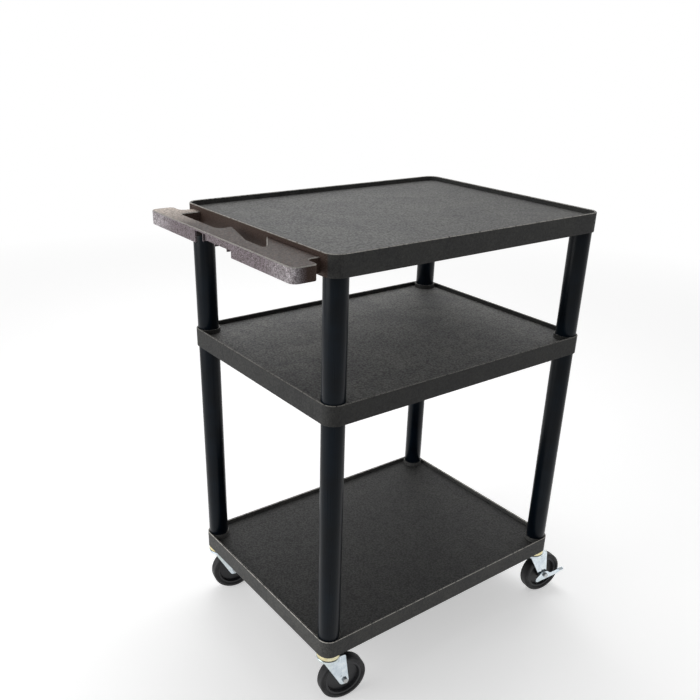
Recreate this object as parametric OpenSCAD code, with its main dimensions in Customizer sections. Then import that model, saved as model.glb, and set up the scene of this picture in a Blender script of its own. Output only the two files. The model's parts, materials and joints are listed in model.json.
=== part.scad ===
// Three-shelf presentation cart: moulded foam-plastic shelves on tube legs, a push
// handle moulded into the top shelf, and four swivel casters, two of them with brakes.
// The origin is on the floor under the middle of the whole cart. +Z is up, the long
// sides of the shelves run along X, and the push handle is at the -X end.

/* [Cart] */
// Length of every shelf along X
shelf_w = 813; // [650:1:1000]
// Depth of every shelf along Y
shelf_d = 610; // [450:1:800]
// Clear height between the bottom shelf and the middle shelf
lower_gap = 578; // [350:1:800]
// Clear height between the middle shelf and the top shelf
upper_gap = 270; // [180:1:500]
// Height from the floor to the underside of the bottom shelf
caster_h = 158; // [156:1:170]
// Direction that the casters trail in at rest, turned from +X, in degrees
rest_yaw = -10; // [-20:1:0]

/* [Shelf] */
// Height of the skirt, which is the whole height of a shelf
skirt_h = 48; // [44:1:60]
// Thickness of the skirt wall
skirt_wall = 5; // [4:0.5:7]
// Thickness of the deck
deck_t = 5; // [4:0.5:7]
// Height of the lip round the deck
lip_h = 12; // [6:0.5:14]
// Chamfer along the outer top edge of the lip
lip_chamfer = 1.5; // [1:0.1:2]
// Chamfer along the inner top edge of the lip
lip_inner_chamfer = 1; // [0.5:0.1:1.5]
// Thickness of a stiffening rib under the deck
rib_t = 3; // [2:0.5:4]
// Depth of a stiffening rib below the deck
rib_h = 14; // [8:1:18]
// Largest spacing of the stiffening ribs
rib_pitch = 112; // [90:1:200]

/* [Leg] */
// Outside diameter of the leg tube
leg_d = 53; // [46:0.5:60]
// Wall of the leg tube
leg_wall = 4; // [3:0.5:6]
// Chamfer on the ends of the leg tube
leg_chamfer = 1.5; // [0.5:0.5:2.5]
// Depth of a leg socket in a shelf corner
socket_depth = 20; // [15:0.5:21]
// Lead-in chamfer at the mouth of a leg socket
socket_lead = 1.5; // [0.5:0.5:2]
// Wall of the corner barrel round a leg
socket_wall = 4; // [3:0.5:6]
// Radial clearance of a leg in its socket
leg_fit = 0.1; // [0.05:0.05:0.3]

/* [Handle] */
// How far the handle stands out from the end of the top shelf
handle_reach = 91; // [85:1:120]
// Drop from the rim of the top shelf to the top of the handle
handle_drop = 11; // [8:0.5:14]
// Height of the handle, from its top down to the edge of its skirt
handle_h = 32; // [29:1:36]
// Thickness of the handle's top plate
handle_t = 5; // [4:0.5:7]
// Thickness of the handle's skirt and slot walls
handle_wall = 4.5; // [3.5:0.5:6]
// Gap between each flared end of the handle and the shelf
neck_w = 32; // [26:1:36]
// Length of that gap, from the flared end's tip towards the middle
neck_depth = 43; // [35:1:60]
// Width of the hand slot
slot_w = 52; // [44:1:54]
// Length of the hand slot along its outer edge
slot_len = 380; // [320:1:384]
// How far the slot's middle lies behind the handle's middle
slot_offset = 37; // [20:1:40]
// How far the slot's slanted front end leans back
slot_slant = 84; // [60:1:90]
// Radius of the slot's back corner
slot_r = 13; // [8:1:20]
// Radius of the slot's sharp front corner
slot_front_r = 5; // [4:0.5:6]
// Width that the slot keeps between the shelf and the tip of the bar's swell
swell_gap = 14; // [10:1:24]
// Distance from the handle's middle back to the swell's steep flank
swell_place = 44; // [30:1:60]
// How far the flank leans back towards the swell's tip
swell_lean = 8; // [0:1:14]
// Length over which the swell tapers away towards the front
swell_len = 119; // [100:1:125]
// Radius at the foot of the flank
swell_foot_r = 16; // [10:1:18]
// Radius of the swell's tip
swell_tip_r = 6; // [5.5:0.5:7]
// Depth of the wall round the hand slot
slot_wall_h = 28; // [20:1:28]
// Radius of the flared ends' outer corners
tip_outer_r = 16; // [10:1:24]
// Radius of the flared ends' corners beside the shelf
tip_inner_r = 12; // [8:1:14]
// Radius at the bottom of the gap beside the shelf
neck_r = 14; // [8:1:16]
// Chamfer along the handle's outer top edge
handle_chamfer = 2; // [1:0.5:3]
// Depth of the cross ribs inside the handle
handle_rib_h = 20; // [10:1:24]
// Largest spacing of those ribs
handle_rib_pitch = 56; // [40:1:90]
// Width of the finger relief in the outer skirt
relief_w = 156; // [100:1:220]
// Width of the part of the relief that is cut up to the top plate
relief_deep_w = 48; // [20:1:80]
// Height of skirt left over the rest of the relief
relief_skirt = 17; // [10:1:30]

/* [Caster head] */
// Diameter of the steel stem
stem_d = 11; // [9:0.5:13]
// Length of the stem inside the shelf corner
stem_len = 38; // [30:1:45]
// Chamfer on the stem's tip
stem_chamfer = 1.5; // [0.5:0.5:2.5]
// Outside diameter of the sleeve that grips the stem
sleeve_d = 16; // [14:0.5:20]
// Diameter of the raceway cup
race_d = 59; // [54:0.5:62]
// Depth of the raceway cup
race_h = 11; // [10:0.5:12]
// Gap between the raceway cup and the fork's collar
race_gap = 2; // [1:0.5:3]
// Thickness of the pressed raceway
race_t = 2.5; // [2:0.1:3]
// Diameter of a bearing ball
ball_d = 6; // [5:0.5:7]
// Number of bearing balls
ball_count = 18; // [12:1:20]
// Diameter of the kingpin that the fork turns on
kingpin_d = 12; // [10:0.5:14]
// Diameter of the kingpin's riveted head
rivet_d = 21; // [18:0.5:24]
// Height of that head
rivet_h = 3; // [2:0.5:4]
// Distance that the wheel trails behind the swivel
trail = 38; // [34:1:44]

/* [Fork] */
// Thickness of the fork's steel
fork_t = 2.5; // [2:0.1:3.5]
// Clear width between the fork's legs
fork_gap = 36; // [34:0.5:44]
// Radius of the fork's rounded ends at the axle
fork_end_r = 11.5; // [10:0.5:14]
// Diameter of the fork's collar
collar_d = 61; // [56:0.5:61]
// Depth of the fork's turned-down collar
collar_h = 7; // [5:0.5:10]
// Distance from the swivel's axis to the crest of the rib pressed into each leg
crest_place = 25; // [23:0.5:27]
// Width of the crest's wide flank at its lower end
crest_w = 12; // [8:0.5:12]
// Height of the crest at its lower end
crest_h = 2; // [1:0.1:2.2]

/* [Wheel] */
// Diameter of the wheel over its tread
wheel_d = 125; // [115:1:126]
// Width of the tread
tyre_w = 30; // [26:1:34]
// Thickness of the tread
tyre_t = 13; // [8:1:16]
// Radius of the tread's rounded shoulders
shoulder_r = 6; // [3:0.5:9]
// Diameter of the hub
hub_d = 30; // [26:1:36]
// Thickness of the web between hub and rim
web_t = 9; // [6:1:14]
// Thickness of the rim under the tread
rim_t = 5; // [3:1:8]

/* [Axle] */
// Diameter of the axle bolt
axle_d = 8; // [6:0.5:10]
// Outside diameter of the bush that the wheel turns on
bush_d = 12; // [11:0.5:14]
// Width across the flats of the bolt head and nut
hex_af = 13; // [12:0.5:17]
// Height of the bolt head
head_h = 5; // [4:0.5:6]
// Height of the lock nut
nut_h = 7; // [5:0.5:9]
// Length of thread that shows past the nut
thread_show = 2; // [1:0.5:4]

/* [Brake] */
// Distance from the axle to the tip of the brake pedal
pedal_reach = 66; // [60:1:80]
// Width of the brake lever
lever_w = 24; // [20:1:30]
// Distance from the axle to the back of the lever's rounded heel
heel_reach = 32; // [26:1:36]
// Depth of the heel below the axle
heel_drop = 20; // [16:1:22]
// Width of the pedal's foot pad, from the lever outwards
pad_w = 10; // [8:0.5:14]
// Length of the pedal's foot pad
pad_len = 19; // [14:1:24]
// Number of ribs across the foot pad
pad_rib_count = 3; // [2:1:4]
// Width and height of those ribs
pad_rib = 1.2; // [0.8:0.1:1.6]
// Radius of the foot pad's corners
pad_r = 6; // [3:0.5:7]
// Thickness of the cam washer under the lever
cam_t = 3; // [2:0.5:4]
// Diameter of the cam washer
cam_d = 20; // [18:1:24]

/* [Hidden] */

// Overrun of a cut past the face that it opens
cut = 1;
// How far one shape runs into the next one of the same piece
bite = 0.5;
// Gap left between pieces that move against each other
running_gap = 0.3;
// Radial clearance of a shaft that turns in its bore
running_fit = 0.06;
// Steps in each rounded corner of an outline
arc_steps = 10;
// Facets of a round surface, which only sets how finely it is drawn
round_fn = 64;

// Radius of a leg socket's bore
socket_r = leg_d / 2 + leg_fit;
// Distance from a shelf's edges to the leg's axis, and the shelf's corner radius
leg_inset = socket_r + socket_wall;
// Radius of the corner barrels, just inside the shelf's rounded corner
barrel_r = leg_inset - leg_fit * 2;
// Places of the legs
leg_x = shelf_w / 2 - leg_inset;
leg_y = shelf_d / 2 - leg_inset;
// Height of the deck's top face above the shelf's underside
deck_z = skirt_h - lip_h;
// Heights of the three shelves' undersides above the floor
bottom_z = caster_h;
middle_z = bottom_z + skirt_h + lower_gap;
top_z = middle_z + skirt_h + upper_gap;
// Radii of the barrel inside the bottom corners, and of the bore for the sleeve
boss_r = sleeve_d / 2 + socket_wall;
boss_h = stem_len + socket_wall;
gusset_t = rib_t;

// Handle, measured from the end of the shelf
handle_top = skirt_h - handle_drop;
handle_low = handle_top - handle_h;
handle_half = shelf_d / 2;
neck_y = handle_half - neck_depth;

// Share of a ball's radius that stands clear of the raceway's groove
ball_sink_share = 0.6;

// Caster, measured from the swivel axis at the shelf's underside
axle_z = wheel_d / 2 - caster_h;
race_r = race_d / 2;
ball_r = ball_d / 2;
ball_ring_r = race_r - race_t * 2 - ball_r - running_gap;
ball_z = -race_t - ball_r * ball_sink_share;
flange_t = race_t * 0.6;
plate_z = ball_z - ball_r - running_gap;
collar_z = -race_h - race_gap;
collar_r = collar_d / 2;
neck_in_r = race_r - race_t - running_gap * 2;
kingpin_r = kingpin_d / 2;
rivet_r = rivet_d / 2;
rivet_z = plate_z - fork_t - running_gap;
fork_in = fork_gap / 2;
fork_out = fork_in + fork_t;
bolt_r = axle_d / 2;
bush_r = bush_d / 2;
wheel_r = wheel_d / 2;
core_r = wheel_r - tyre_t;
hub_half = fork_in - running_gap;
cam_out = fork_out + cam_t;
lever_in = cam_out + running_gap;
lever_out = lever_in + fork_t;
pad_out = lever_out + pad_w;
brake_stack = lever_out - fork_out + running_gap;

// Shift that brings the middle of the cart's outer box onto the origin
left_reach = shelf_w / 2 + handle_reach;
right_reach = leg_x + (trail + wheel_r - shoulder_r) * cos(rest_yaw)
    + (tyre_w / 2 - shoulder_r) * sin(-rest_yaw) + shoulder_r;
front_reach = leg_y + (trail + pedal_reach - pad_r) * sin(-rest_yaw)
    + (pad_out - pad_r) * cos(rest_yaw) + pad_r;
cart_x = (left_reach - right_reach) / 2;
cart_y = (front_reach - shelf_d / 2) / 2;

// Colours
shelf_color = "#3b3b3c";
leg_color = "#16191d";
race_color = "#c9b98a";
zinc_color = "#c3c8cc";
steel_color = "#a9adb0";
core_color = "#3a3c3e";
tyre_color = "#1c1d20";
bush_color = "#d8d4c6";

// Unit vector along v
function unit(v) = v / norm(v);

// Points that round the corner p, between its neighbours a and b, to radius r
function corner_arc(p, a, b, r) =
    let (
        u = unit(a - p),
        v = unit(b - p),
        half = acos(u * v) / 2,
        middle = p + unit(u + v) * r / sin(half),
        start = p + u * r / tan(half) - middle,
        first = atan2(start[1], start[0]),
        sweep = (180 - 2 * half) * (cross(u, v) < 0 ? 1 : -1)
    )
    [for (k = [0 : arc_steps])
        middle + r * [cos(first + sweep * k / arc_steps), sin(first + sweep * k / arc_steps)]];

// Outline through corners given as [x, y, radius]; a corner of radius 0 stays sharp
function rounded(corners) =
    let (n = len(corners), at = [for (c = corners) [c[0], c[1]]])
    [for (i = [0 : n - 1])
        each corners[i][2] > 0
            ? corner_arc(at[i], at[(i + n - 1) % n], at[(i + 1) % n], corners[i][2])
            : [at[i]]];

// Corners of a w by d rectangle about the origin, rounded to radius r
function rectangle_corners(w, d, r) =
    [[w / 2, d / 2, r], [-w / 2, d / 2, r], [-w / 2, -d / 2, r], [w / 2, -d / 2, r]];

// The same corners in the opposite order, as for the edge of a hole
function reversed(corners) = [for (i = [len(corners) - 1 : -1 : 0]) corners[i]];

// The same corners moved out by d, on all sides but the one that closes the outline
function grown(corners, d) =
    let (n = len(corners), at = [for (c = corners) [c[0], c[1]]])
    [for (i = [0 : n - 1])
        let (
            u = unit(at[i] - at[(i + n - 1) % n]),
            v = unit(at[(i + 1) % n] - at[i]),
            turn = cross(u, v),
            p = at[i] + (u * (i == n - 1 ? 0 : d) - v * (i == 0 ? 0 : d)) / turn,
            r = corners[i][2]
        )
        [p[0], p[1], r > 0 ? r + d * sign(turn) : 0]];

// Section of a chamfer cut whose edge is at the origin, with the open side to the right
module chamfer_section(size) {
    polygon([[-size - cut, cut], [cut, -size - cut], [cut, cut]]);
}

// What a chamfer takes off the top edge of an outline, at z = 0. The corners run
// anticlockwise round a solid and clockwise round a hole.
module edge_chamfer(corners, size) {
    n = len(corners);
    for (i = [0 : n - 1]) {
        p = [corners[i][0], corners[i][1]];
        before = corners[(i + n - 1) % n];
        after = corners[(i + 1) % n];
        r = corners[i][2];
        u = unit([before[0], before[1]] - p);
        v = unit([after[0], after[1]] - p);
        half = acos(u * v) / 2;
        trim = r / tan(half);
        heading = atan2(v[1], v[0]);
        next = corners[(i + 2) % n];
        w = unit([next[0], next[1]] - [after[0], after[1]]);
        next_trim = after[2] / tan(acos(-v * w) / 2);
        length = norm([after[0], after[1]] - p) - trim - next_trim;
        translate([p[0] + v[0] * (trim + length), p[1] + v[1] * (trim + length), 0])
            rotate([90, 0, heading - 90])
                linear_extrude(length)
                    chamfer_section(size);
        if (r > 0) {
            middle = p + unit(u + v) * r / sin(half);
            sides = [p + u * trim - middle, p - middle, p + v * trim - middle];
            translate([middle[0], middle[1], 0])
                intersection() {
                    rotate_extrude($fn = round_fn)
                        translate([r, 0])
                            mirror([cross(u, v) < 0 ? 0 : 1, 0])
                                chamfer_section(size);
                    translate([0, 0, -size - cut])
                        linear_extrude(size + cut * 2)
                            polygon(concat([[0, 0]], sides * 2));
                }
        }
    }
}

// A flat shape drawn in X and Z, standing up from y to y + t
module upright(y, t) {
    translate([0, y + t, 0])
        rotate([90, 0, 0])
            linear_extrude(t)
                children();
}

// A hexagonal prism along Y, from y to y + t
module hexagon(y, t) {
    upright(y, t)
        circle(r = hex_af / 2 / cos(30), $fn = 6);
}

// A round bar or bore along Y, from y to y + t
module crossbar(r, y, t) {
    translate([0, y + t, 0])
        rotate([90, 0, 0])
            cylinder(r = r, h = t, $fn = round_fn);
}

// Puts a piece at every leg's place on a shelf
module at_corners() {
    for (x = [-leg_x, leg_x], y = [-leg_y, leg_y])
        translate([x, y, 0])
            children();
}

// Corners of a shelf, moved in by inset
function shelf_corners(inset) =
    rectangle_corners(shelf_w - inset * 2, shelf_d - inset * 2, leg_inset - inset);

// Plan of a shelf, moved in by inset
module shelf_plan(inset) {
    polygon(rounded(shelf_corners(inset)));
}

// Bore of a leg socket, going down from z = 0, with a lead-in at its mouth
module socket_bore() {
    rotate_extrude($fn = round_fn)
        polygon([
            [0, cut],
            [0, -socket_depth],
            [socket_r, -socket_depth],
            [socket_r, -socket_lead],
            [socket_r + socket_lead + cut, cut]
        ]);
}

// Stiffening ribs under the deck, from the middle of one wall to the middle of the other
module deck_ribs() {
    span_x = shelf_w - leg_inset * 4;
    span_y = shelf_d - leg_inset * 4;
    count_x = ceil(span_x / rib_pitch);
    count_y = ceil(span_y / rib_pitch);
    rib_z = deck_z - deck_t - rib_h;
    for (i = [0 : count_x])
        translate([-span_x / 2 + i * span_x / count_x - rib_t / 2, -(shelf_d - skirt_wall) / 2, rib_z])
            cube([rib_t, shelf_d - skirt_wall, rib_h + bite]);
    for (i = [0 : count_y])
        translate([-(shelf_w - skirt_wall) / 2, -span_y / 2 + i * span_y / count_y - rib_t / 2, rib_z])
            cube([shelf_w - skirt_wall, rib_t, rib_h + bite]);
}

// Shelf with its skirt, lip, deck, ribs and corner barrels; the barrels open
// upwards and downwards for the legs where the shelf has legs above and below
module shelf(barrel_top, opens_up, opens_down) {
    difference() {
        union() {
            difference() {
                linear_extrude(skirt_h)
                    shelf_plan(0);
                translate([0, 0, deck_z])
                    linear_extrude(lip_h + cut)
                        shelf_plan(skirt_wall);
                translate([0, 0, skirt_h])
                    edge_chamfer(reversed(shelf_corners(skirt_wall)), lip_inner_chamfer);
                translate([0, 0, -cut])
                    linear_extrude(deck_z - deck_t + cut)
                        shelf_plan(skirt_wall);
            }
            deck_ribs();
            at_corners()
                cylinder(r = barrel_r, h = barrel_top, $fn = round_fn);
        }
        translate([0, 0, skirt_h])
            edge_chamfer(shelf_corners(0), lip_chamfer);
        if (opens_up)
            at_corners()
                translate([0, 0, skirt_h])
                    socket_bore();
        if (opens_down)
            at_corners()
                mirror([0, 0, 1])
                    socket_bore();
    }
}

// Corners of the push handle; X is measured from the shelf's end
function handle_corners() =
    let (root = skirt_wall / 2)
    [
        [root, neck_y, 0],
        [-neck_w, neck_y, neck_r],
        [-neck_w, handle_half, tip_inner_r],
        [-handle_reach, handle_half, tip_outer_r],
        [-handle_reach, -handle_half, tip_outer_r],
        [-neck_w, -handle_half, tip_inner_r],
        [-neck_w, -neck_y, neck_r],
        [root, -neck_y, 0]
    ];

// Corners of the hand slot, with the swell that the bar has for the palm
function slot_corners() =
    let (
        root = skirt_wall * 0.7,
        back = slot_offset + slot_len / 2,
        front = slot_offset - slot_len / 2
    )
    [
        [root, back, 0],
        [-slot_w, back, slot_r],
        [-slot_w, swell_place, swell_foot_r],
        [-swell_gap, swell_place + swell_lean, swell_tip_r],
        [-slot_w, swell_place - swell_len, slot_w / 2],
        [-slot_w, front, slot_front_r],
        [root, front + slot_slant * (1 + root / slot_w), 0]
    ];

// Push handle: a top plate with a turned-down skirt, a walled hand slot that the bar
// swells into, cross ribs inside the bar and a finger relief cut out of the skirt
module push_handle() {
    rib_count = ceil(neck_y * 2 / handle_rib_pitch);
    difference() {
        union() {
            difference() {
                translate([0, 0, handle_low])
                    linear_extrude(handle_h)
                        polygon(rounded(handle_corners()));
                translate([0, 0, handle_low - cut])
                    linear_extrude(handle_h - handle_t + cut)
                        polygon(rounded(grown(handle_corners(), -handle_wall)));
            }
            translate([0, 0, handle_top - slot_wall_h])
                linear_extrude(slot_wall_h - bite)
                    polygon(rounded(grown(slot_corners(), handle_wall)));
            for (i = [1 : rib_count - 1])
                translate([
                    -handle_reach + handle_wall / 2,
                    -neck_y + i * neck_y * 2 / rib_count - rib_t / 2,
                    handle_top - handle_t - handle_rib_h
                ])
                    cube([handle_reach, rib_t, handle_rib_h + bite]);
        }
        translate([0, 0, handle_low - cut])
            linear_extrude(handle_h + cut * 2)
                polygon(rounded(slot_corners()));
        translate([0, 0, handle_top]) {
            edge_chamfer(handle_corners(), handle_chamfer);
            edge_chamfer(reversed(slot_corners()), handle_chamfer);
        }
        translate([-handle_reach - cut, -relief_w / 2, handle_low - cut])
            cube([handle_wall + cut + bite, relief_w, handle_h - relief_skirt + cut]);
        translate([-handle_reach - cut, relief_w / 2 - relief_deep_w, handle_low - cut])
            cube([handle_wall + cut + bite, relief_deep_w, handle_h - handle_t + cut]);
    }
}

// Top shelf with the push handle moulded to its left end
module top_shelf() {
    color(shelf_color)
        translate([cart_x, cart_y, top_z]) {
            shelf(deck_z, false, true);
            translate([-shelf_w / 2, 0, 0])
                push_handle();
        }
}

// Middle shelf, with legs above and below
module middle_shelf() {
    color(shelf_color)
        translate([cart_x, cart_y, middle_z])
            shelf(skirt_h, true, true);
}

// Bottom shelf, with a gusseted boss for the caster's sleeve in every corner
module bottom_shelf() {
    color(shelf_color)
        translate([cart_x, cart_y, bottom_z])
            difference() {
                union() {
                    shelf(skirt_h, true, true);
                    at_corners() {
                        translate([0, 0, flange_t])
                            cylinder(r = boss_r, h = boss_h - flange_t, $fn = round_fn);
                        for (a = [0, 90])
                            rotate(a)
                                translate([-socket_r - bite, -gusset_t / 2, flange_t])
                                    cube([(socket_r + bite) * 2, gusset_t, socket_depth]);
                    }
                }
                at_corners()
                    translate([0, 0, -cut])
                        cylinder(r = sleeve_d / 2, h = stem_len + flange_t + cut, $fn = round_fn);
            }
}

// A leg tube that stands on the floors of two sockets a clear height apart
module leg(gap) {
    length = gap + socket_depth * 2;
    outer = leg_d / 2;
    inner = outer - leg_wall;
    color(leg_color)
        translate([0, 0, -socket_depth])
            rotate_extrude($fn = round_fn)
                polygon([
                    [inner, 0],
                    [outer - leg_chamfer, 0],
                    [outer, leg_chamfer],
                    [outer, length - leg_chamfer],
                    [outer - leg_chamfer, length],
                    [inner, length]
                ]);
}

module upper_leg(side_x, side_y) {
    translate([cart_x + side_x * leg_x, cart_y + side_y * leg_y, middle_z + skirt_h])
        leg(upper_gap);
}

module lower_leg(side_x, side_y) {
    translate([cart_x + side_x * leg_x, cart_y + side_y * leg_y, bottom_z + skirt_h])
        leg(lower_gap);
}

// Puts a piece of a caster at one corner, turned the way the casters trail
module caster_place(side_x, side_y) {
    translate([cart_x + side_x * leg_x, cart_y + side_y * leg_y, caster_h])
        rotate(rest_yaw)
            children();
}

// Flanged steel sleeve pressed into the bottom shelf's corner boss
module stem_sleeve() {
    color(steel_color)
        rotate_extrude($fn = round_fn)
            polygon([
                [stem_d / 2, 0],
                [boss_r, 0],
                [boss_r, flange_t],
                [sleeve_d / 2, flange_t],
                [sleeve_d / 2, stem_len + flange_t],
                [stem_d / 2, stem_len + flange_t]
            ]);
}

// Stem, raceway cup and riveted kingpin, which stay with the cart
module caster_stem() {
    lip_r = race_r - race_t;
    color(race_color)
        difference() {
            rotate_extrude($fn = round_fn)
                polygon([
                    [0, stem_len],
                    [stem_d / 2 - stem_chamfer, stem_len],
                    [stem_d / 2, stem_len - stem_chamfer],
                    [stem_d / 2, 0],
                    [lip_r - race_t * 0.8, 0],
                    [race_r - race_t * 0.4, -race_t * 0.8],
                    [race_r, -race_t * 2],
                    [race_r, -race_h],
                    [lip_r, -race_h],
                    [lip_r, -race_t * 2.2],
                    [lip_r - race_t * 0.5, -race_t * 1.4],
                    [lip_r - race_t * 1.2, -race_t],
                    [kingpin_r, -race_t],
                    [kingpin_r, rivet_z],
                    [rivet_r, rivet_z],
                    [rivet_r * 0.85, rivet_z - rivet_h],
                    [0, rivet_z - rivet_h]
                ]);
            translate([0, 0, ball_z])
                rotate_extrude($fn = round_fn)
                    translate([ball_ring_r, 0])
                        circle(r = ball_r + running_fit, $fn = round_fn / 2);
        }
}

// Ring of loose steel balls between the raceway and the fork
module bearing_balls() {
    color(steel_color)
        for (i = [0 : ball_count - 1])
            rotate(i * 360 / ball_count)
                translate([ball_ring_r, 0, ball_z])
                    sphere(r = ball_r, $fn = round_fn / 2);
}

// Side view of a fork leg, with its round end at the axle
module fork_leg_plan() {
    top = collar_z - fork_t * 0.5;
    polygon(rounded([
        [-neck_in_r * 0.9, top, 0],
        [trail, top, fork_end_r / 4],
        [trail + fork_end_r, axle_z - fork_end_r, fork_end_r * 0.95],
        [trail - fork_end_r, axle_z - fork_end_r, fork_end_r * 0.85]
    ]));
}

// Rib pressed into the leg on the -Y side: a crest with one wide and one steep flank,
// which grows from the collar down towards the axle
module fork_crest() {
    top = collar_z - fork_t;
    low = axle_z + fork_end_r * 1.25;
    length = top - low;
    intersection() {
        translate([crest_place, -fork_out, low])
            rotate([-atan(crest_h * 0.6 / length), 0, 0])
                translate([0, 0, -cut])
                    linear_extrude(length + cut * 2)
                        polygon([[0, -crest_h], [crest_w * 0.4, crest_h], [-crest_w * 2, crest_h]]);
        translate([crest_place - crest_w, -fork_out - crest_h, low])
            cube([crest_w * 1.2, crest_h + fork_t / 2, length]);
    }
}

// Pressed steel fork: a collar that turns under the raceway, a bridge behind it
// and two tapering legs, each with a pressed rib
module fork() {
    color(zinc_color)
        difference() {
            union() {
                rotate_extrude($fn = round_fn)
                    polygon([
                        [kingpin_r + running_fit, plate_z],
                        [neck_in_r, plate_z],
                        [neck_in_r, collar_z],
                        [collar_r - fork_t * 0.4, collar_z],
                        [collar_r, collar_z - fork_t * 0.4],
                        [collar_r, collar_z - collar_h],
                        [collar_r - fork_t, collar_z - collar_h],
                        [collar_r - fork_t, collar_z - fork_t],
                        [neck_in_r - fork_t, collar_z - fork_t],
                        [neck_in_r - fork_t, plate_z - fork_t],
                        [kingpin_r + running_fit, plate_z - fork_t]
                    ]);
                translate([neck_in_r * 0.75, -fork_out, collar_z - fork_t])
                    cube([trail - neck_in_r * 0.75 - fork_end_r / 4, fork_out * 2, fork_t]);
                for (y = [-fork_out, fork_in])
                    upright(y, fork_t)
                        fork_leg_plan();
                for (side = [0, 1])
                    mirror([0, side, 0])
                        fork_crest();
            }
            translate([trail, 0, axle_z])
                crossbar(bolt_r, -fork_out - cut, fork_out * 2 + cut * 2);
        }
}

// Axle bolt with its hexagon head, on the -Y side; stack is what it clamps there
module axle_bolt(stack) {
    head_y = -fork_out - stack;
    end_y = fork_out + nut_h + thread_show;
    color(steel_color)
        translate([trail, 0, axle_z])
            union() {
                hexagon(head_y - head_h, head_h);
                crossbar(bolt_r, head_y - bite, end_y - head_y + bite);
            }
}

// Lock nut on the +Y end of the axle bolt
module axle_nut() {
    color(steel_color)
        translate([trail, 0, axle_z])
            difference() {
                union() {
                    hexagon(fork_out, nut_h * 0.75);
                    crossbar(hex_af * 0.44, fork_out, nut_h);
                }
                crossbar(bolt_r, fork_out - cut, nut_h + cut * 2);
            }
}

// Bush clamped between the fork's legs, on which the wheel turns
module axle_bush() {
    color(bush_color)
        translate([trail, 0, axle_z])
            difference() {
                crossbar(bush_r, -fork_in, fork_gap);
                crossbar(bolt_r, -fork_in - cut, fork_gap + cut * 2);
            }
}

// Turns a profile, drawn as radius and half width, about the axle
module wheel_revolve() {
    translate([trail, 0, axle_z])
        rotate([90, 0, 0])
            rotate_extrude($fn = round_fn * 1.5)
                children();
}

// Moulded wheel centre: hub, thin web and rim
module wheel_core() {
    hub_r = hub_d / 2;
    rim_r = core_r - rim_t;
    rim_half = tyre_w / 2 - shoulder_r * 0.4;
    side = [
        [bush_r + running_fit, hub_half],
        [hub_r - rim_t * 0.4, hub_half],
        [hub_r, hub_half - rim_t * 0.4],
        [hub_r + rim_t * 0.6, web_t / 2],
        [rim_r - rim_t * 0.6, web_t / 2],
        [rim_r, rim_half],
        [core_r, rim_half]
    ];
    color(core_color)
        wheel_revolve()
            polygon(concat(side, [for (i = [len(side) - 1 : -1 : 0]) [side[i][0], -side[i][1]]]));
}

// Rubber tread with rounded shoulders
module tyre() {
    half = tyre_w / 2;
    bead = half - shoulder_r * 0.4;
    color(tyre_color)
        wheel_revolve()
            polygon(rounded([
                [core_r, bead, 0],
                [core_r + shoulder_r * 0.5, half, shoulder_r * 0.3],
                [wheel_r, half, shoulder_r],
                [wheel_r, -half, shoulder_r],
                [core_r + shoulder_r * 0.5, -half, shoulder_r * 0.3],
                [core_r, -bead, 0]
            ]));
}

// Cam washer that the brake lever turns against
module brake_cam() {
    color(steel_color)
        translate([trail, 0, axle_z])
            difference() {
                crossbar(cam_d / 2, -cam_out, cam_t);
                crossbar(bolt_r, -cam_out - cut, cam_t + cut * 2);
            }
}

// Brake lever: an eye round the axle bolt, a rounded heel, an arm along the wheel
// and a ribbed foot pad
module brake_lever() {
    half = lever_w / 2;
    pad_top = half * 0.75;
    color(zinc_color)
        translate([trail, 0, axle_z])
            difference() {
                union() {
                    upright(-lever_out, fork_t)
                        polygon(rounded([
                            [-half * 0.9, half, half * 0.75],
                            [-heel_reach, -heel_drop * 0.3, heel_drop * 0.2],
                            [-heel_reach, -heel_drop, heel_drop * 0.35],
                            [pedal_reach - pad_len, -half * 0.75, half],
                            [pedal_reach, -fork_t, fork_t * 2],
                            [pedal_reach, pad_top, fork_t],
                            [half * 1.6, half * 0.15, half * 0.8],
                            [half * 0.7, half, half * 0.6]
                        ]));
                    translate([pedal_reach - pad_len, -pad_out, pad_top - fork_t])
                        linear_extrude(fork_t)
                            polygon(rounded([
                                [0, pad_out - lever_in, 0],
                                [0, 0, pad_r],
                                [pad_len, 0, pad_r],
                                [pad_len, pad_out - lever_in, 0]
                            ]));
                    for (i = [1 : pad_rib_count])
                        translate([
                            pedal_reach - pad_len + i * pad_len / (pad_rib_count + 1) - pad_rib / 2,
                            -pad_out + pad_rib,
                            pad_top - bite
                        ])
                            cube([pad_rib, pad_w - pad_rib, pad_rib + bite]);
                }
                crossbar(bolt_r + running_fit, -lever_out - cut, fork_t + cut * 2);
            }
}

top_shelf();
middle_shelf();
bottom_shelf();
upper_leg(-1, -1);  // upper_leg_front_left
upper_leg(1, -1);  // upper_leg_front_right
upper_leg(-1, 1);  // upper_leg_back_left
upper_leg(1, 1);  // upper_leg_back_right
lower_leg(-1, -1);  // lower_leg_front_left
lower_leg(1, -1);  // lower_leg_front_right
lower_leg(-1, 1);  // lower_leg_back_left
lower_leg(1, 1);  // lower_leg_back_right
caster_place(-1, -1) stem_sleeve();  // stem_sleeve_front_left
caster_place(1, -1) stem_sleeve();  // stem_sleeve_front_right
caster_place(-1, 1) stem_sleeve();  // stem_sleeve_back_left
caster_place(1, 1) stem_sleeve();  // stem_sleeve_back_right
caster_place(-1, -1) caster_stem();  // caster_stem_front_left
caster_place(1, -1) caster_stem();  // caster_stem_front_right
caster_place(-1, 1) caster_stem();  // caster_stem_back_left
caster_place(1, 1) caster_stem();  // caster_stem_back_right
caster_place(-1, -1) bearing_balls();  // bearing_balls_front_left
caster_place(1, -1) bearing_balls();  // bearing_balls_front_right
caster_place(-1, 1) bearing_balls();  // bearing_balls_back_left
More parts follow.
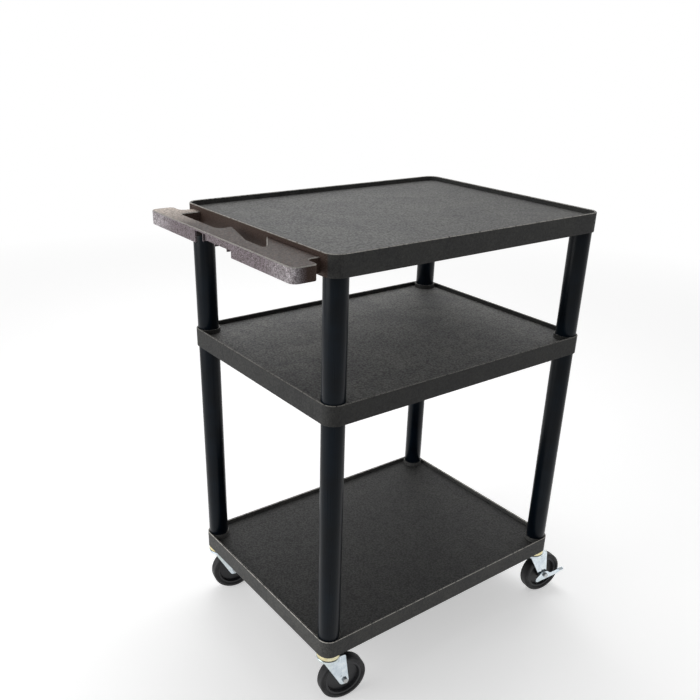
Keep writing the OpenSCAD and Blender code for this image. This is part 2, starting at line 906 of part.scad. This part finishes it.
caster_place(1, 1) bearing_balls();  // bearing_balls_back_right
caster_place(-1, -1) fork();  // fork_front_left
caster_place(1, -1) fork();  // fork_front_right
caster_place(-1, 1) fork();  // fork_back_left
caster_place(1, 1) fork();  // fork_back_right
caster_place(-1, -1) axle_bolt(0);  // axle_bolt_front_left
caster_place(1, -1) axle_bolt(brake_stack);  // axle_bolt_front_right
caster_place(-1, 1) axle_bolt(0);  // axle_bolt_back_left
caster_place(1, 1) axle_bolt(brake_stack);  // axle_bolt_back_right
caster_place(-1, -1) axle_nut();  // axle_nut_front_left
caster_place(1, -1) axle_nut();  // axle_nut_front_right
caster_place(-1, 1) axle_nut();  // axle_nut_back_left
caster_place(1, 1) axle_nut();  // axle_nut_back_right
caster_place(-1, -1) axle_bush();  // axle_bush_front_left
caster_place(1, -1) axle_bush();  // axle_bush_front_right
caster_place(-1, 1) axle_bush();  // axle_bush_back_left
caster_place(1, 1) axle_bush();  // axle_bush_back_right
caster_place(-1, -1) wheel_core();  // wheel_core_front_left
caster_place(1, -1) wheel_core();  // wheel_core_front_right
caster_place(-1, 1) wheel_core();  // wheel_core_back_left
caster_place(1, 1) wheel_core();  // wheel_core_back_right
caster_place(-1, -1) tyre();  // tyre_front_left
caster_place(1, -1) tyre();  // tyre_front_right
caster_place(-1, 1) tyre();  // tyre_back_left
caster_place(1, 1) tyre();  // tyre_back_right
caster_place(1, -1) brake_cam();  // brake_cam_front_right
caster_place(1, 1) brake_cam();  // brake_cam_back_right
caster_place(1, -1) brake_lever();  // brake_lever_front_right
caster_place(1, 1) brake_lever();  // brake_lever_back_right
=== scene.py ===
# %% [markdown]
# # A rolling presentation cart
# Three moulded shelves stand on eight leg tubes, a push handle is moulded into the top
# shelf, and four swivel casters carry it. The measured solids are loaded first. They
# already have the right shapes, so most of this lesson is about finishes: what each
# material is, how it was made, and how a few shader nodes can say so.

# %% Load the measured solids
import json
import math

import bpy
import numpy as np
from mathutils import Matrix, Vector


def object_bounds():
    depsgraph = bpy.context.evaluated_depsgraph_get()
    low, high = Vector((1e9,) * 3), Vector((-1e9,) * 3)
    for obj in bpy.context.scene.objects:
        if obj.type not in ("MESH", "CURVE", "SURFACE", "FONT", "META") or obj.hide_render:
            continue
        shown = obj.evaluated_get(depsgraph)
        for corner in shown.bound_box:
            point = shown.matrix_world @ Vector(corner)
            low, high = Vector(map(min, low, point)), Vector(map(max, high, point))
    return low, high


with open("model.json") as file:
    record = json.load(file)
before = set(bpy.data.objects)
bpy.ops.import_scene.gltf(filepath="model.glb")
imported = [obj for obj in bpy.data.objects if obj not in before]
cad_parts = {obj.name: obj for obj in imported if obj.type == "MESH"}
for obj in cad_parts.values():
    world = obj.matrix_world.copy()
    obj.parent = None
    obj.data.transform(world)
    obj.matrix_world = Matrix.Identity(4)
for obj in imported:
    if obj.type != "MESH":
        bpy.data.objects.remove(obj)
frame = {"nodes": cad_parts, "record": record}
nodes = frame["nodes"]
cad_low, cad_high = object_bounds()
MM = 0.001
print("solids:", len(nodes), "box from", tuple(cad_low), "to", tuple(cad_high))

# %% [markdown]
# ## Camera
# The camera stands in front of the cart's left corner, a little above the top shelf. Its
# place, its turn and its focal length were fitted to the straight edges of the shelves.
# The horizon lies above the middle of the picture, which a small shift of the lens gives
# without tilting the upright legs.

# %% Set up the camera
CAMERA_PLACE = (-1.26688, -1.47681, 1.52865)
CAMERA_TURN_DEG = (64.794, -1.470, -36.974)
FOCAL_MM = 40.876
SENSOR_MM = 36.0
LENS_SHIFT = (0.0048, 0.0814)

camera_data = bpy.data.cameras.new("camera")
camera_data.lens = FOCAL_MM
camera_data.sensor_width = SENSOR_MM
camera_data.shift_x, camera_data.shift_y = LENS_SHIFT
camera = bpy.data.objects.new("camera", camera_data)
camera.location = CAMERA_PLACE
camera.rotation_euler = [math.radians(angle) for angle in CAMERA_TURN_DEG]
bpy.context.scene.collection.objects.link(camera)
bpy.context.scene.camera = camera
print("camera at", CAMERA_PLACE, "with a", FOCAL_MM, "mm lens")

# %% [markdown]
# ## Three helpers for materials
# Colours are written as the eye knows them, as sRGB hex values, and one function turns
# them to the linear values that light is reckoned in. The second helper adds any shader
# node with its settings and its links, so that a material reads as a short recipe. The
# third opens a material and hands over the coordinates that its patterns are laid in.
#
# An input goes by its number where a node has several of one name. A map range takes the
# value as 0, the range that it comes from as 1 and 2, and the range that it goes to as 3
# and 4. A mix takes the share as 0, and then two numbers as 2 and 3 or two colours as 6
# and 7.

# %% Colour and node helpers
def linear(hex_colour):
    """Linear RGBA of an sRGB hex colour. A channel c becomes c / 12.92 below 0.04045,
    and ((c + 0.055) / 1.055) to the power 2.4 above it."""
    channels = np.array([int(hex_colour[i : i + 2], 16) for i in (1, 3, 5)]) / 255
    low = channels / 12.92
    high = ((channels + 0.055) / 1.055) ** 2.4
    return (*np.where(channels < 0.04045, low, high), 1.0)


def add(tree, kind, sockets=None, **settings):
    """Adds a shader node of a kind. settings are the node's own properties, and sockets
    maps an input's name or number to a value, to an output, or to a whole node, whose
    first output in use then feeds the input."""
    node = tree.nodes.new("ShaderNode" + kind)
    for name, value in settings.items():
        setattr(node, name, value)
    for key, value in (sockets or {}).items():
        if isinstance(value, bpy.types.Node):
            value = next(output for output in value.outputs if output.enabled)
        if isinstance(value, bpy.types.NodeSocket):
            tree.links.new(value, node.inputs[key])
        else:
            node.inputs[key].default_value = value
    return node


def start_material(name):
    """A new material, its empty tree, and the object coordinates of its surface."""
    material = bpy.data.materials.new(name)
    material.use_nodes = True
    tree = material.node_tree
    tree.nodes.clear()
    return material, tree, add(tree, "TexCoord").outputs["Object"]


print("linear mid grey:", linear("#808080")[:3])

# %% [markdown]
# ## Moulded foam plastic
# The shelves are structural foam: polyethylene that is blown while it fills the mould.
# Its skin is matt and slightly waxy, with a pebble grain on the decks that hides
# scratches, a finer grain on the skirts, and faint flow swirls where the melt folded.
# The pebbles are cells of a Voronoi pattern. Real ones are near 1.5 mm across, and the
# skirts' grain is near 0.5 mm. They are drawn at 4.5 and 2 mm, since finer ones would
# not show at this distance.
#
# The chamfered edges carry a painted highlight, in patches. The pebbles and the skirts'
# grain carry painted light and shade, lighter on their tops and darker in their hollows.
# The shelves also get painted light and shade by height: the bottom deck is painted darker,
# as the shade under the shelves, the middle deck is painted much brighter, and the top deck
# is dimmed back below it. The lowest skirt is paler, the middle one darker, and the top one
# a little paler than the middle one. The push handle is browner than the rest and polished,
# and its plate pales towards the back end. Its outer face is painted paler as the lit side,
# speckled with scuffs, with painted highlights near both ends. Every edge that was
# chamfered in the solids leans at 45 degrees, so the upward part of the normal finds the
# edges, and the handle is found by its place past the end of the top shelf.

# %% Foam plastic
PEBBLE = 4.5 * MM
SKIRT_GRAIN = 2.0 * MM
SWIRL = 90 * MM
MOTTLE = 7 * MM
GRAIN_DEPTH = 0.3 * MM
FOAM_DARK, FOAM_LIGHT = linear("#303030"), linear("#3f3f3d")
PLATE_DARK, PLATE_LIGHT = linear("#1c1311"), linear("#46372f")
# Paler plate colour towards the handle's back end.
PLATE_BACK_PALE = linear("#b9ada3")
INNER_WALL = linear("#5b4c46")
# The handle's outer face: painted paler as the lit side, speckled with scuffs.
LIT_SCUFF_DARK, LIT_SCUFF_LIGHT = linear("#6a605f"), linear("#a3979f")
# Painted highlight on the handle's rounded ends.
END_HIGHLIGHT_COLOUR = linear("#f0eaee")
# Painted highlight for the chamfered edges of the shelves and the handle.
EDGE_HIGHLIGHT_COLOUR = linear("#a3a09a")

# The upward part of the normal on an edge that leans at 45 degrees.
EDGE_LEAN = 0.7

# Places along x, y and z where one look of the plastic turns into the next.
SHELF_END = cad_low[0] + 91 * MM
OUTER_FACE, INNER_FACE = cad_low[0] + 10 * MM, cad_low[0] + 34 * MM
PALE_FROM, PALE_TO = 120 * MM, 300 * MM
# Distances from the middle of the handle over which its painted end highlights fade in.
END_HIGHLIGHT_FROM, END_HIGHLIGHT_TO = 190 * MM, 280 * MM
BOTTOM_DECK, BETWEEN_DECKS, MIDDLE_DECK = 200 * MM, 500 * MM, 750 * MM
MIDDLE_OVER, TOP_FROM = 900 * MM, 1050 * MM
TOP_SHELF = cad_high[2] - 60 * MM


def handle_colour(tree, along_x, along_y, on_deck, grain, mottle):
    """Brown plate that pales towards the back, darker brown walls round the hand slot,
    and an outer face painted paler as the lit side, speckled with scuffs, with painted
    highlights near both ends."""
    speck = add(tree, "MapRange", {0: grain, 1: 0.38, 2: 0.66})
    plate = add(tree, "Mix", {0: speck, 6: PLATE_DARK, 7: PLATE_LIGHT}, data_type="RGBA")
    pale = add(tree, "MapRange", {0: along_y, 1: PALE_FROM, 2: PALE_TO, 4: 0.85})
    plate = add(tree, "Mix", {0: pale, 6: plate, 7: PLATE_BACK_PALE}, data_type="RGBA")
    inner_wall = add(tree, "Mix", {0: speck, 6: PLATE_LIGHT, 7: INNER_WALL}, data_type="RGBA")

    outside = add(tree, "MapRange", {0: along_x, 1: OUTER_FACE, 2: INNER_FACE, 3: 1.0, 4: 0.0})
    from_middle = add(tree, "Math", {0: along_y}, operation="ABSOLUTE")
    # Painted highlights near both ends of the outer face, broken up by grain and mottle.
    end_highlight_mask = add(tree, "MapRange", {0: from_middle, 1: END_HIGHLIGHT_FROM, 2: END_HIGHLIGHT_TO})
    fine = add(tree, "MapRange", {0: grain, 1: 0.2, 2: 0.7})
    coarse = add(tree, "MapRange", {0: mottle, 1: 0.35, 2: 0.6, 3: 0.3, 4: 0.9})
    for share in (outside, fine, coarse):
        end_highlight_mask = add(tree, "Math", {0: end_highlight_mask, 1: share}, operation="MULTIPLY")
    # The outer face painted paler as the lit side, speckled with scuffs.
    lit_and_scuffed = add(tree, "Mix", {0: speck, 6: LIT_SCUFF_DARK, 7: LIT_SCUFF_LIGHT}, data_type="RGBA")
    lit_and_scuffed = add(tree, "Mix", {0: end_highlight_mask, 6: lit_and_scuffed, 7: END_HIGHLIGHT_COLOUR}, data_type="RGBA")
    upright = add(tree, "Mix", {0: outside, 6: inner_wall, 7: lit_and_scuffed}, data_type="RGBA")
    return add(tree, "Mix", {0: on_deck, 6: upright, 7: plate}, data_type="RGBA")


def painted_light_by_height(tree, height, on_deck):
    """A factor on the colour that paints light and shade by height, for decks and skirts."""
    # Painted shade darkens the bottom deck and painted light brightens the middle deck. The top
    # deck is dimmed back below it.
    deck = add(tree, "MapRange", {0: height, 1: BOTTOM_DECK, 2: MIDDLE_DECK, 3: 0.5, 4: 3.4})
    top_deck_dimmed = add(tree, "MapRange", {0: height, 1: MIDDLE_OVER, 2: TOP_FROM, 3: 1.0, 4: 0.37})
    deck = add(tree, "Math", {0: deck, 1: top_deck_dimmed}, operation="MULTIPLY")
    # Skirts: the lowest paler, the middle one darker, the top one a little paler than the middle.
    skirt = add(tree, "MapRange", {0: height, 1: BOTTOM_DECK, 2: BETWEEN_DECKS, 3: 2.1, 4: 0.68})
    top_skirt_paler = add(tree, "MapRange", {0: height, 1: MIDDLE_OVER, 2: TOP_FROM, 3: 1.0, 4: 1.6})
    skirt = add(tree, "Math", {0: skirt, 1: top_skirt_paler}, operation="MULTIPLY")
    return add(tree, "Mix", {0: on_deck, 2: skirt, 3: deck})


def foam_plastic():
    """Swirls and mottling tint the colour, pebbles on level faces and a fine grain on
    upright ones dent the surface and carry painted light and shade, the chamfered edges
    get a painted highlight, painted light and shade change with height, and the handle
    is polished."""
    material, tree, place = start_material("moulded_foam_plastic")
    normal = add(tree, "NewGeometry").outputs["Normal"]
    level = add(tree, "SeparateXYZ", {0: normal}).outputs["Z"]
    along_x, along_y, height = add(tree, "SeparateXYZ", {0: place}).outputs
    on_deck = add(tree, "MapRange", {0: level, 1: 0.75, 2: 0.95})
    past_end = add(
        tree,
        "MapRange",
        {0: along_x, 1: SHELF_END + 1 * MM, 2: SHELF_END + 3 * MM, 3: 1.0, 4: 0.0},
    )
    high_up = add(tree, "MapRange", {0: height, 1: TOP_SHELF, 2: TOP_SHELF + 1 * MM})
    on_handle = add(tree, "Math", {0: past_end, 1: high_up}, operation="MULTIPLY")

    swirl = add(
        tree,
        "TexNoise",
        {"Vector": place, "Scale": 1 / SWIRL, "Detail": 4.0, "Distortion": 0.8},
    )
    mottle = add(tree, "TexNoise", {"Vector": place, "Scale": 1 / MOTTLE, "Detail": 6.0})
    grain = add(tree, "TexNoise", {"Vector": place, "Scale": 1 / SKIRT_GRAIN, "Detail": 3.0})
    cell = add(
        tree,
        "TexVoronoi",
        {"Vector": place, "Scale": 1 / PEBBLE, "Smoothness": 0.25},
        feature="SMOOTH_F1",
    )

    cloud = add(tree, "Math", {0: swirl, 1: mottle}, operation="ADD")
    cloud = add(tree, "MapRange", {0: cloud, 1: 0.8, 2: 1.2})
    tint = add(tree, "Mix", {0: cloud, 6: FOAM_DARK, 7: FOAM_LIGHT}, data_type="RGBA")
    handle = handle_colour(tree, along_x, along_y, on_deck, grain, mottle)
    tint = add(tree, "Mix", {0: on_handle, 6: tint, 7: handle}, data_type="RGBA")
    # A painted highlight on the chamfered edges, in patches. The same edges are also made
    # glossier.
    off_edge = add(tree, "Math", {0: level, 1: EDGE_LEAN}, operation="SUBTRACT")
    off_edge = add(tree, "Math", {0: off_edge}, operation="ABSOLUTE")
    edge_highlight_mask = add(tree, "MapRange", {0: off_edge, 1: 0.05, 2: 0.3, 3: 1.0, 4: 0.0})
    patchy = add(tree, "MapRange", {0: mottle, 1: 0.3, 2: 0.5})
    edge_highlight_mask = add(tree, "Math", {0: edge_highlight_mask, 1: patchy}, operation="MULTIPLY")
    tint = add(tree, "Mix", {0: edge_highlight_mask, 6: tint, 7: EDGE_HIGHLIGHT_COLOUR}, data_type="RGBA")

    # Painted light and shade on the relief: pebble tops and raised grain lighter, their hollows
    # darker.
    painted_pebble_shade = add(tree, "MapRange", {0: cell, 1: 0.1, 2: 0.8, 3: 0.42, 4: -0.38})
    painted_grain_shade = add(tree, "MapRange", {0: grain, 1: 0.3, 2: 0.7, 3: -0.35, 4: 0.35})
    painted_relief_light = add(tree, "Mix", {0: on_deck, 2: painted_grain_shade, 3: painted_pebble_shade})
    shade = add(tree, "Math", {0: painted_relief_light, 1: 1.0}, operation="ADD")
    # Painted light and shade that change with height.
    tone_shift = painted_light_by_height(tree, height, on_deck)
    shade = add(tree, "Math", {0: shade, 1: tone_shift}, operation="MULTIPLY")
    colour = add(tree, "VectorMath", {0: tint, "Scale": shade}, operation="SCALE")

    matt = add(tree, "MapRange", {0: cell, 1: 0.1, 2: 0.7, 3: 0.56, 4: 0.72})
    polished = add(tree, "MapRange", {0: mottle, 1: 0.3, 2: 0.7, 3: 0.52, 4: 0.66})
    shine = add(tree, "Math", {0: on_handle, 1: edge_highlight_mask}, operation="MAXIMUM")
    rough = add(tree, "Mix", {0: shine, 2: matt, 3: polished})
    gloss = add(tree, "MapRange", {0: on_handle, 3: 0.4, 4: 0.18})
    pebbles = add(tree, "MapRange", {0: cell, 2: 0.8, 3: 1.0, 4: 0.0})
    relief = add(tree, "Mix", {0: on_deck, 2: grain, 3: pebbles})
    relief = add(tree, "Bump", {"Strength": 1.0, "Distance": GRAIN_DEPTH, "Height": relief})
    surface = add(
        tree,
        "BsdfPrincipled",
        {
            "Base Color": colour,
            "Roughness": rough,
            "Specular IOR Level": gloss,
            "Normal": relief,
            "IOR": 1.5,
        },
    )
    add(tree, "OutputMaterial", {"Surface": surface})
    return material


shelf_finish = foam_plastic()
print("made", shelf_finish.name, "with", len(shelf_finish.node_tree.nodes), "nodes")

# %% [markdown]
# ## Extruded leg tube
# The legs are extruded rigid vinyl tube, almost black, with the satin gloss that the
# cooled die leaves. The die also leaves faint lines along the tube, so a noise drawn out
# along z varies both the gloss and a very shallow bump. Real die lines are some tenths of
# a millimetre apart, and they are drawn at 1.2 mm so that they show.

# %% Leg plastic
DIE_LINE = 1.2 * MM
DIE_LINE_DEPTH = 0.015 * MM
LEG_CLOUD = 60 * MM
LEG_DARK, LEG_LIGHT = linear("#050b12"), linear("#0d1822")


def leg_plastic():
    """Near-black satin plastic with lines along z from the extrusion die."""
    material, tree, place = start_material("extruded_leg_vinyl")
    drawn_out = add(tree, "Mapping", {0: place, 3: (1.0, 1.0, 0.01)})
    lines = add(tree, "TexNoise", {"Vector": drawn_out, "Scale": 1 / DIE_LINE, "Detail": 2.0})
    cloud = add(tree, "TexNoise", {"Vector": place, "Scale": 1 / LEG_CLOUD, "Detail": 3.0})
    cloud = add(tree, "MapRange", {0: cloud, 1: 0.3, 2: 0.7})
    colour = add(tree, "Mix", {0: cloud, 6: LEG_DARK, 7: LEG_LIGHT}, data_type="RGBA")
    rough = add(tree, "MapRange", {0: lines, 1: 0.3, 2: 0.7, 3: 0.26, 4: 0.38})
    relief = add(tree, "Bump", {"Strength": 1.0, "Distance": DIE_LINE_DEPTH, "Height": lines})
    surface = add(
        tree,
        "BsdfPrincipled",
        {
            "Base Color": colour,
            "Roughness": rough,
            "Specular IOR Level": 0.12,
            "Normal": relief,
            "IOR": 1.52,
        },
    )
    add(tree, "OutputMaterial", {"Surface": surface})
    return material


leg_finish = leg_plastic()
print("made", leg_finish.name, "with die lines", DIE_LINE / MM, "mm apart")

# %% [markdown]
# ## Plated and bright steel
# The casters are pressed steel. Their forks and brake levers are plated with clear zinc,
# which is silvery with a blue cast and soft blotches. The raceway cup has the yellow
# chromate finish, which drifts between straw, green and rose because its film is thin
# and uneven. Bolts, nuts and washers are plain bright steel. All three are metals, so
# the base colour is the colour of their reflection.

# %% Metals
BLOTCH = 14 * MM
SCRATCH = 0.8 * MM
SCRATCH_DEPTH = 0.008 * MM


def plated_steel(name, first, second, tinge, rough):
    """A metal whose colour drifts between two shades in soft blotches, with a third
    tinge in broad patches, and fine scratches that roughen it."""
    material, tree, place = start_material(name)
    blotch = add(tree, "TexNoise", {"Vector": place, "Scale": 1 / BLOTCH, "Detail": 4.0})
    patch = add(tree, "TexNoise", {"Vector": place, "Scale": 1 / (3 * BLOTCH), "Detail": 1.0})
    drawn_out = add(tree, "Mapping", {0: place, 3: (1.0, 1.0, 0.12)})
    scratch = add(tree, "TexNoise", {"Vector": drawn_out, "Scale": 1 / SCRATCH, "Detail": 2.0})
    drift = add(tree, "MapRange", {0: blotch, 1: 0.3, 2: 0.7})
    colour = add(
        tree,
        "Mix",
        {0: drift, 6: linear(first), 7: linear(second)},
        data_type="RGBA",
    )
    tinged = add(tree, "MapRange", {0: patch, 1: 0.5, 2: 0.72, 4: 0.6})
    colour = add(tree, "Mix", {0: tinged, 6: colour, 7: linear(tinge)}, data_type="RGBA")
    satin = add(
        tree,
        "MapRange",
        {0: blotch, 1: 0.3, 2: 0.7, 3: rough - 0.04, 4: rough + 0.04},
    )
    relief = add(tree, "Bump", {"Strength": 1.0, "Distance": SCRATCH_DEPTH, "Height": scratch})
    surface = add(
        tree,
        "BsdfPrincipled",
        {"Base Color": colour, "Metallic": 1.0, "Roughness": satin, "Normal": relief},
    )
    add(tree, "OutputMaterial", {"Surface": surface})
    return material


yellow_plate = plated_steel("yellow_zinc_plate", "#e6dcb2", "#d2c490", "#dcdcc4", 0.24)
clear_plate = plated_steel("clear_zinc_plate", "#dfe7ec", "#c3ced6", "#d0dbd4", 0.18)
bare_steel = plated_steel("bright_steel", "#bfc1c2", "#9fa2a5", "#a8a49c", 0.3)
print("made", yellow_plate.name, clear_plate.name, bare_steel.name)

# %% [markdown]
# ## Wheel plastic, tread rubber and nylon
# The wheel's centre is moulded polyolefin in dark grey, the tread is soft grey-black
# rubber that picks up floor dust, and the bush in the hub is natural nylon, ivory and
# slightly waxy.

# %% Wheel materials
CENTRE_MOTTLE, CENTRE_DEPTH = 5 * MM, 0.05 * MM
CENTRE_DARK, CENTRE_LIGHT = linear("#141519"), linear("#222328")
TREAD_TOOTH, TREAD_DEPTH, TREAD_SMUDGE = 1.2 * MM, 0.08 * MM, 18 * MM
TREAD_DARK, TREAD_DUSTY = linear("#0c0c10"), linear("#1f1f20")
BUSH_CLOUD = 4 * MM
IVORY_DARK, IVORY_LIGHT = linear("#cfc8b4"), linear("#ded9c9")


def wheel_plastic():
    """Dark grey moulded plastic with a faint mottling."""
    material, tree, place = start_material("moulded_wheel_centre")
    mottle = add(
        tree,
        "TexNoise",
        {"Vector": place, "Scale": 1 / CENTRE_MOTTLE, "Detail": 4.0},
    )
    patch = add(tree, "MapRange", {0: mottle, 1: 0.35, 2: 0.65})
    colour = add(tree, "Mix", {0: patch, 6: CENTRE_DARK, 7: CENTRE_LIGHT}, data_type="RGBA")
    rough = add(tree, "MapRange", {0: mottle, 1: 0.3, 2: 0.7, 3: 0.4, 4: 0.52})
    relief = add(tree, "Bump", {"Strength": 1.0, "Distance": CENTRE_DEPTH, "Height": mottle})
    surface = add(
        tree,
        "BsdfPrincipled",
        {"Base Color": colour, "Roughness": rough, "Normal": relief, "IOR": 1.5},
    )
    add(tree, "OutputMaterial", {"Surface": surface})
    return material


def tread_rubber():
    """Soft dark rubber with a fine tooth and pale dust in broad smudges."""
    material, tree, place = start_material("tread_rubber")
    tooth = add(tree, "TexNoise", {"Vector": place, "Scale": 1 / TREAD_TOOTH, "Detail": 3.0})
    smudge = add(
        tree,
        "TexNoise",
        {"Vector": place, "Scale": 1 / TREAD_SMUDGE, "Detail": 4.0},
    )
    tone_shift = add(tree, "MapRange", {0: smudge, 1: 0.45, 2: 0.75, 4: 0.5})
    colour = add(tree, "Mix", {0: tone_shift, 6: TREAD_DARK, 7: TREAD_DUSTY}, data_type="RGBA")
    rough = add(tree, "MapRange", {0: smudge, 1: 0.3, 2: 0.7, 3: 0.5, 4: 0.72})
    relief = add(tree, "Bump", {"Strength": 1.0, "Distance": TREAD_DEPTH, "Height": tooth})
    surface = add(
        tree,
        "BsdfPrincipled",
        {"Base Color": colour, "Roughness": rough, "Normal": relief, "IOR": 1.5},
    )
    add(tree, "OutputMaterial", {"Surface": surface})
    return material


def bush_nylon():
    """Ivory nylon with a waxy, faintly cloudy surface."""
    material, tree, place = start_material("bush_nylon")
    cloud = add(tree, "TexNoise", {"Vector": place, "Scale": 1 / BUSH_CLOUD, "Detail": 2.0})
    patch = add(tree, "MapRange", {0: cloud, 1: 0.3, 2: 0.7})
    colour = add(tree, "Mix", {0: patch, 6: IVORY_DARK, 7: IVORY_LIGHT}, data_type="RGBA")
    rough = add(tree, "MapRange", {0: cloud, 1: 0.3, 2: 0.7, 3: 0.38, 4: 0.5})
    surface = add(
        tree,
        "BsdfPrincipled",
        {"Base Color": colour, "Roughness": rough, "IOR": 1.53},
    )
    add(tree, "OutputMaterial", {"Surface": surface})
    return material


centre_finish, tread_finish, bush_finish = wheel_plastic(), tread_rubber(), bush_nylon()
print("made", centre_finish.name, tread_finish.name, bush_finish.name)

# %% [markdown]
# ## Dressing the solids
# Each solid names a material slot in the record, so one table from slot to material
# dresses all of them. The solids have knife edges where real mouldings and pressings are
# rounded, so those with visible edges get a small bevel. The bevel needs faces that
# share their vertices, which a weld gives it first.

# %% Assign materials and soften edges
MATERIALS = {
    "shelf_plastic": shelf_finish,
    "leg_plastic": leg_finish,
    "race_steel": yellow_plate,
    "zinc_steel": clear_plate,
    "bright_steel": bare_steel,
    "bush_nylon": bush_finish,
    "wheel_plastic": centre_finish,
    "tread_rubber": tread_finish,
}
EDGE_RADIUS = {
    "shelf_plastic": 1.2 * MM,
    "leg_plastic": 0.6 * MM,
    "zinc_steel": 0.5 * MM,
    "bright_steel": 0.3 * MM,
}
WELD_REACH = 0.01 * MM
EDGE_ANGLE_DEG = 35

slot_of = {part["node"]: part["material_slot"] for part in frame["record"]["subparts"]}
for name, solid in nodes.items():
    solid.data.materials.clear()
    solid.data.materials.append(MATERIALS[slot_of[name]])
    if slot_of[name] in EDGE_RADIUS:
        weld = solid.modifiers.new("weld", "WELD")
        weld.merge_threshold = WELD_REACH
        bevel = solid.modifiers.new("soft_edges", "BEVEL")
        bevel.width = EDGE_RADIUS[slot_of[name]]
        bevel.segments = 2
        bevel.limit_method = "ANGLE"
        bevel.angle_limit = math.radians(EDGE_ANGLE_DEG)
print("dressed", len(nodes), "solids in", len(MATERIALS), "materials")

# %% [markdown]
# ## Floor
# The cart stands on a plain pale floor before a pale backdrop. The floor is pale to the
# camera and in reflections, and grey to the light that bounces off it, so that it
# doesn't wash the dark plastic out. A few metres off, where no shadow falls, it turns
# into the backdrop. Polished metal sees it a little brighter than it is lit, as it would
# in a room with white walls.

# %% Floor
FLOOR_SIZE = 60.0
FADE_START, FADE_END = 1.6, 5.0
FLOOR_LIFT = 0.45
MIRRORED_LIFT = 0.6
FLOOR_BOUNCE, FLOOR_SEEN = linear("#8c8c8c"), linear("#ececec")
BLACK, WHITE = linear("#000000"), linear("#ffffff")

floor_mesh = bpy.data.meshes.new("floor")
corner = FLOOR_SIZE / 2
corners = [(-corner, -corner, 0), (corner, -corner, 0), (corner, corner, 0), (-corner, corner, 0)]
floor_mesh.from_pydata(corners, [], [(0, 1, 2, 3)])
floor = bpy.data.objects.new("floor", floor_mesh)
bpy.context.scene.collection.objects.link(floor)


def seen_rays(tree):
    """1 for the rays that show the background: those from the camera, and those that a
    mirror or a glass sends on."""
    seen = 0.0
    for kind in ("Is Camera Ray", "Is Glossy Ray", "Is Transmission Ray"):
        ray = add(tree, "LightPath").outputs[kind]
        seen = add(tree, "Math", {0: seen, 1: ray}, operation="MAXIMUM")
    return seen


floor_finish, tree, place = start_material("pale_floor")
seen = seen_rays(tree)
far = add(tree, "VectorMath", {0: place}, operation="LENGTH")
far = add(tree, "MapRange", {0: far, 1: FADE_START, 2: FADE_END})
pale = add(tree, "Mix", {0: seen, 6: FLOOR_BOUNCE, 7: FLOOR_SEEN}, data_type="RGBA")
colour = add(tree, "Mix", {0: far, 6: pale, 7: BLACK}, data_type="RGBA")
gloss = add(tree, "MapRange", {0: far, 3: 0.5, 4: 0.0})
lift = add(tree, "MapRange", {0: far, 3: FLOOR_LIFT, 4: 1.0})
lift = add(tree, "Math", {0: lift, 1: seen}, operation="MULTIPLY")
mirrored = add(tree, "LightPath").outputs["Is Glossy Ray"]
mirrored = add(tree, "MapRange", {0: mirrored, 4: MIRRORED_LIFT})
lift = add(tree, "Math", {0: lift, 1: mirrored}, operation="MAXIMUM")
surface = add(
    tree,
    "BsdfPrincipled",
    {
        "Base Color": colour,
        "Roughness": 0.9,
        "Specular IOR Level": gloss,
        "Emission Color": WHITE,
        "Emission Strength": lift,
    },
)
add(tree, "OutputMaterial", {"Surface": surface})
floor_mesh.materials.append(floor_finish)
print("floor", FLOOR_SIZE, "m wide, turning into the backdrop from", FADE_START, "m")

# %% [markdown]
# ## Studio and lamps
# Dark plastic shows its shape mostly by what it reflects. The studio is pale on the side
# that the camera looks to and dark behind it, so the decks catch a pale sheen while the
# front faces look into the unlit side and stay dark. The camera itself sees a white
# backdrop all round. Three large soft panels add to that: one high over the decks, one
# past the handle that the left faces look into, and one behind that draws the rims.

# %% Studio and lamps
BACKDROP_WAY = (0.6, 0.8, 0.0)
STUDIO_DARK = 0.16
BOUNCE_LIGHT = 0.3
world = bpy.data.worlds.new("studio")
bpy.context.scene.world = world
world.use_nodes = True
sky = world.node_tree
sky.nodes.clear()
ray_way = add(sky, "TexCoord").outputs["Generated"]
towards = add(sky, "VectorMath", {0: ray_way, 1: BACKDROP_WAY}, operation="DOT_PRODUCT")
backdrop = add(sky, "MapRange", {0: towards, 1: -0.3, 2: 0.35, 3: STUDIO_DARK, 4: 1.0})
looked_at = add(sky, "LightPath").outputs["Is Camera Ray"]
backdrop = add(sky, "Math", {0: backdrop, 1: looked_at}, operation="MAXIMUM")
dim = add(sky, "Background", {"Color": WHITE, "Strength": BOUNCE_LIGHT})
pale = add(sky, "Background", {"Color": WHITE, "Strength": backdrop})
both = add(sky, "MixShader", {0: seen_rays(sky), 1: dim, 2: pale})
add(sky, "OutputWorld", {"Surface": both})

LIT_POINT = (0.0, 0.0, 0.7)
SOFTBOXES = {
    "over_the_decks": {"place": (0.7, 0.7, 3.4), "size": 2.0, "power": 38},
    "behind_the_handle": {"place": (-3.0, 0.6, 1.3), "size": 2.0, "power": 32},
    "behind": {"place": (1.2, 3.0, 2.5), "size": 2.4, "power": 20},
}
for name, panel in SOFTBOXES.items():
    lamp = bpy.data.lights.new(name, "AREA")
    lamp.size = panel["size"]
    lamp.energy = panel["power"]
    softbox = bpy.data.objects.new(name, lamp)
    softbox.location = panel["place"]
    aim_x, aim_y, aim_z = np.array(LIT_POINT) - np.array(panel["place"])
    lean = math.atan2(math.hypot(aim_x, aim_y), -aim_z)
    softbox.rotation_euler = (lean, 0.0, math.atan2(-aim_x, aim_y))
    bpy.context.scene.collection.objects.link(softbox)
print("lamps:", [light.name for light in bpy.data.lights])

bpy.context.scene.view_settings.view_transform = "Standard"
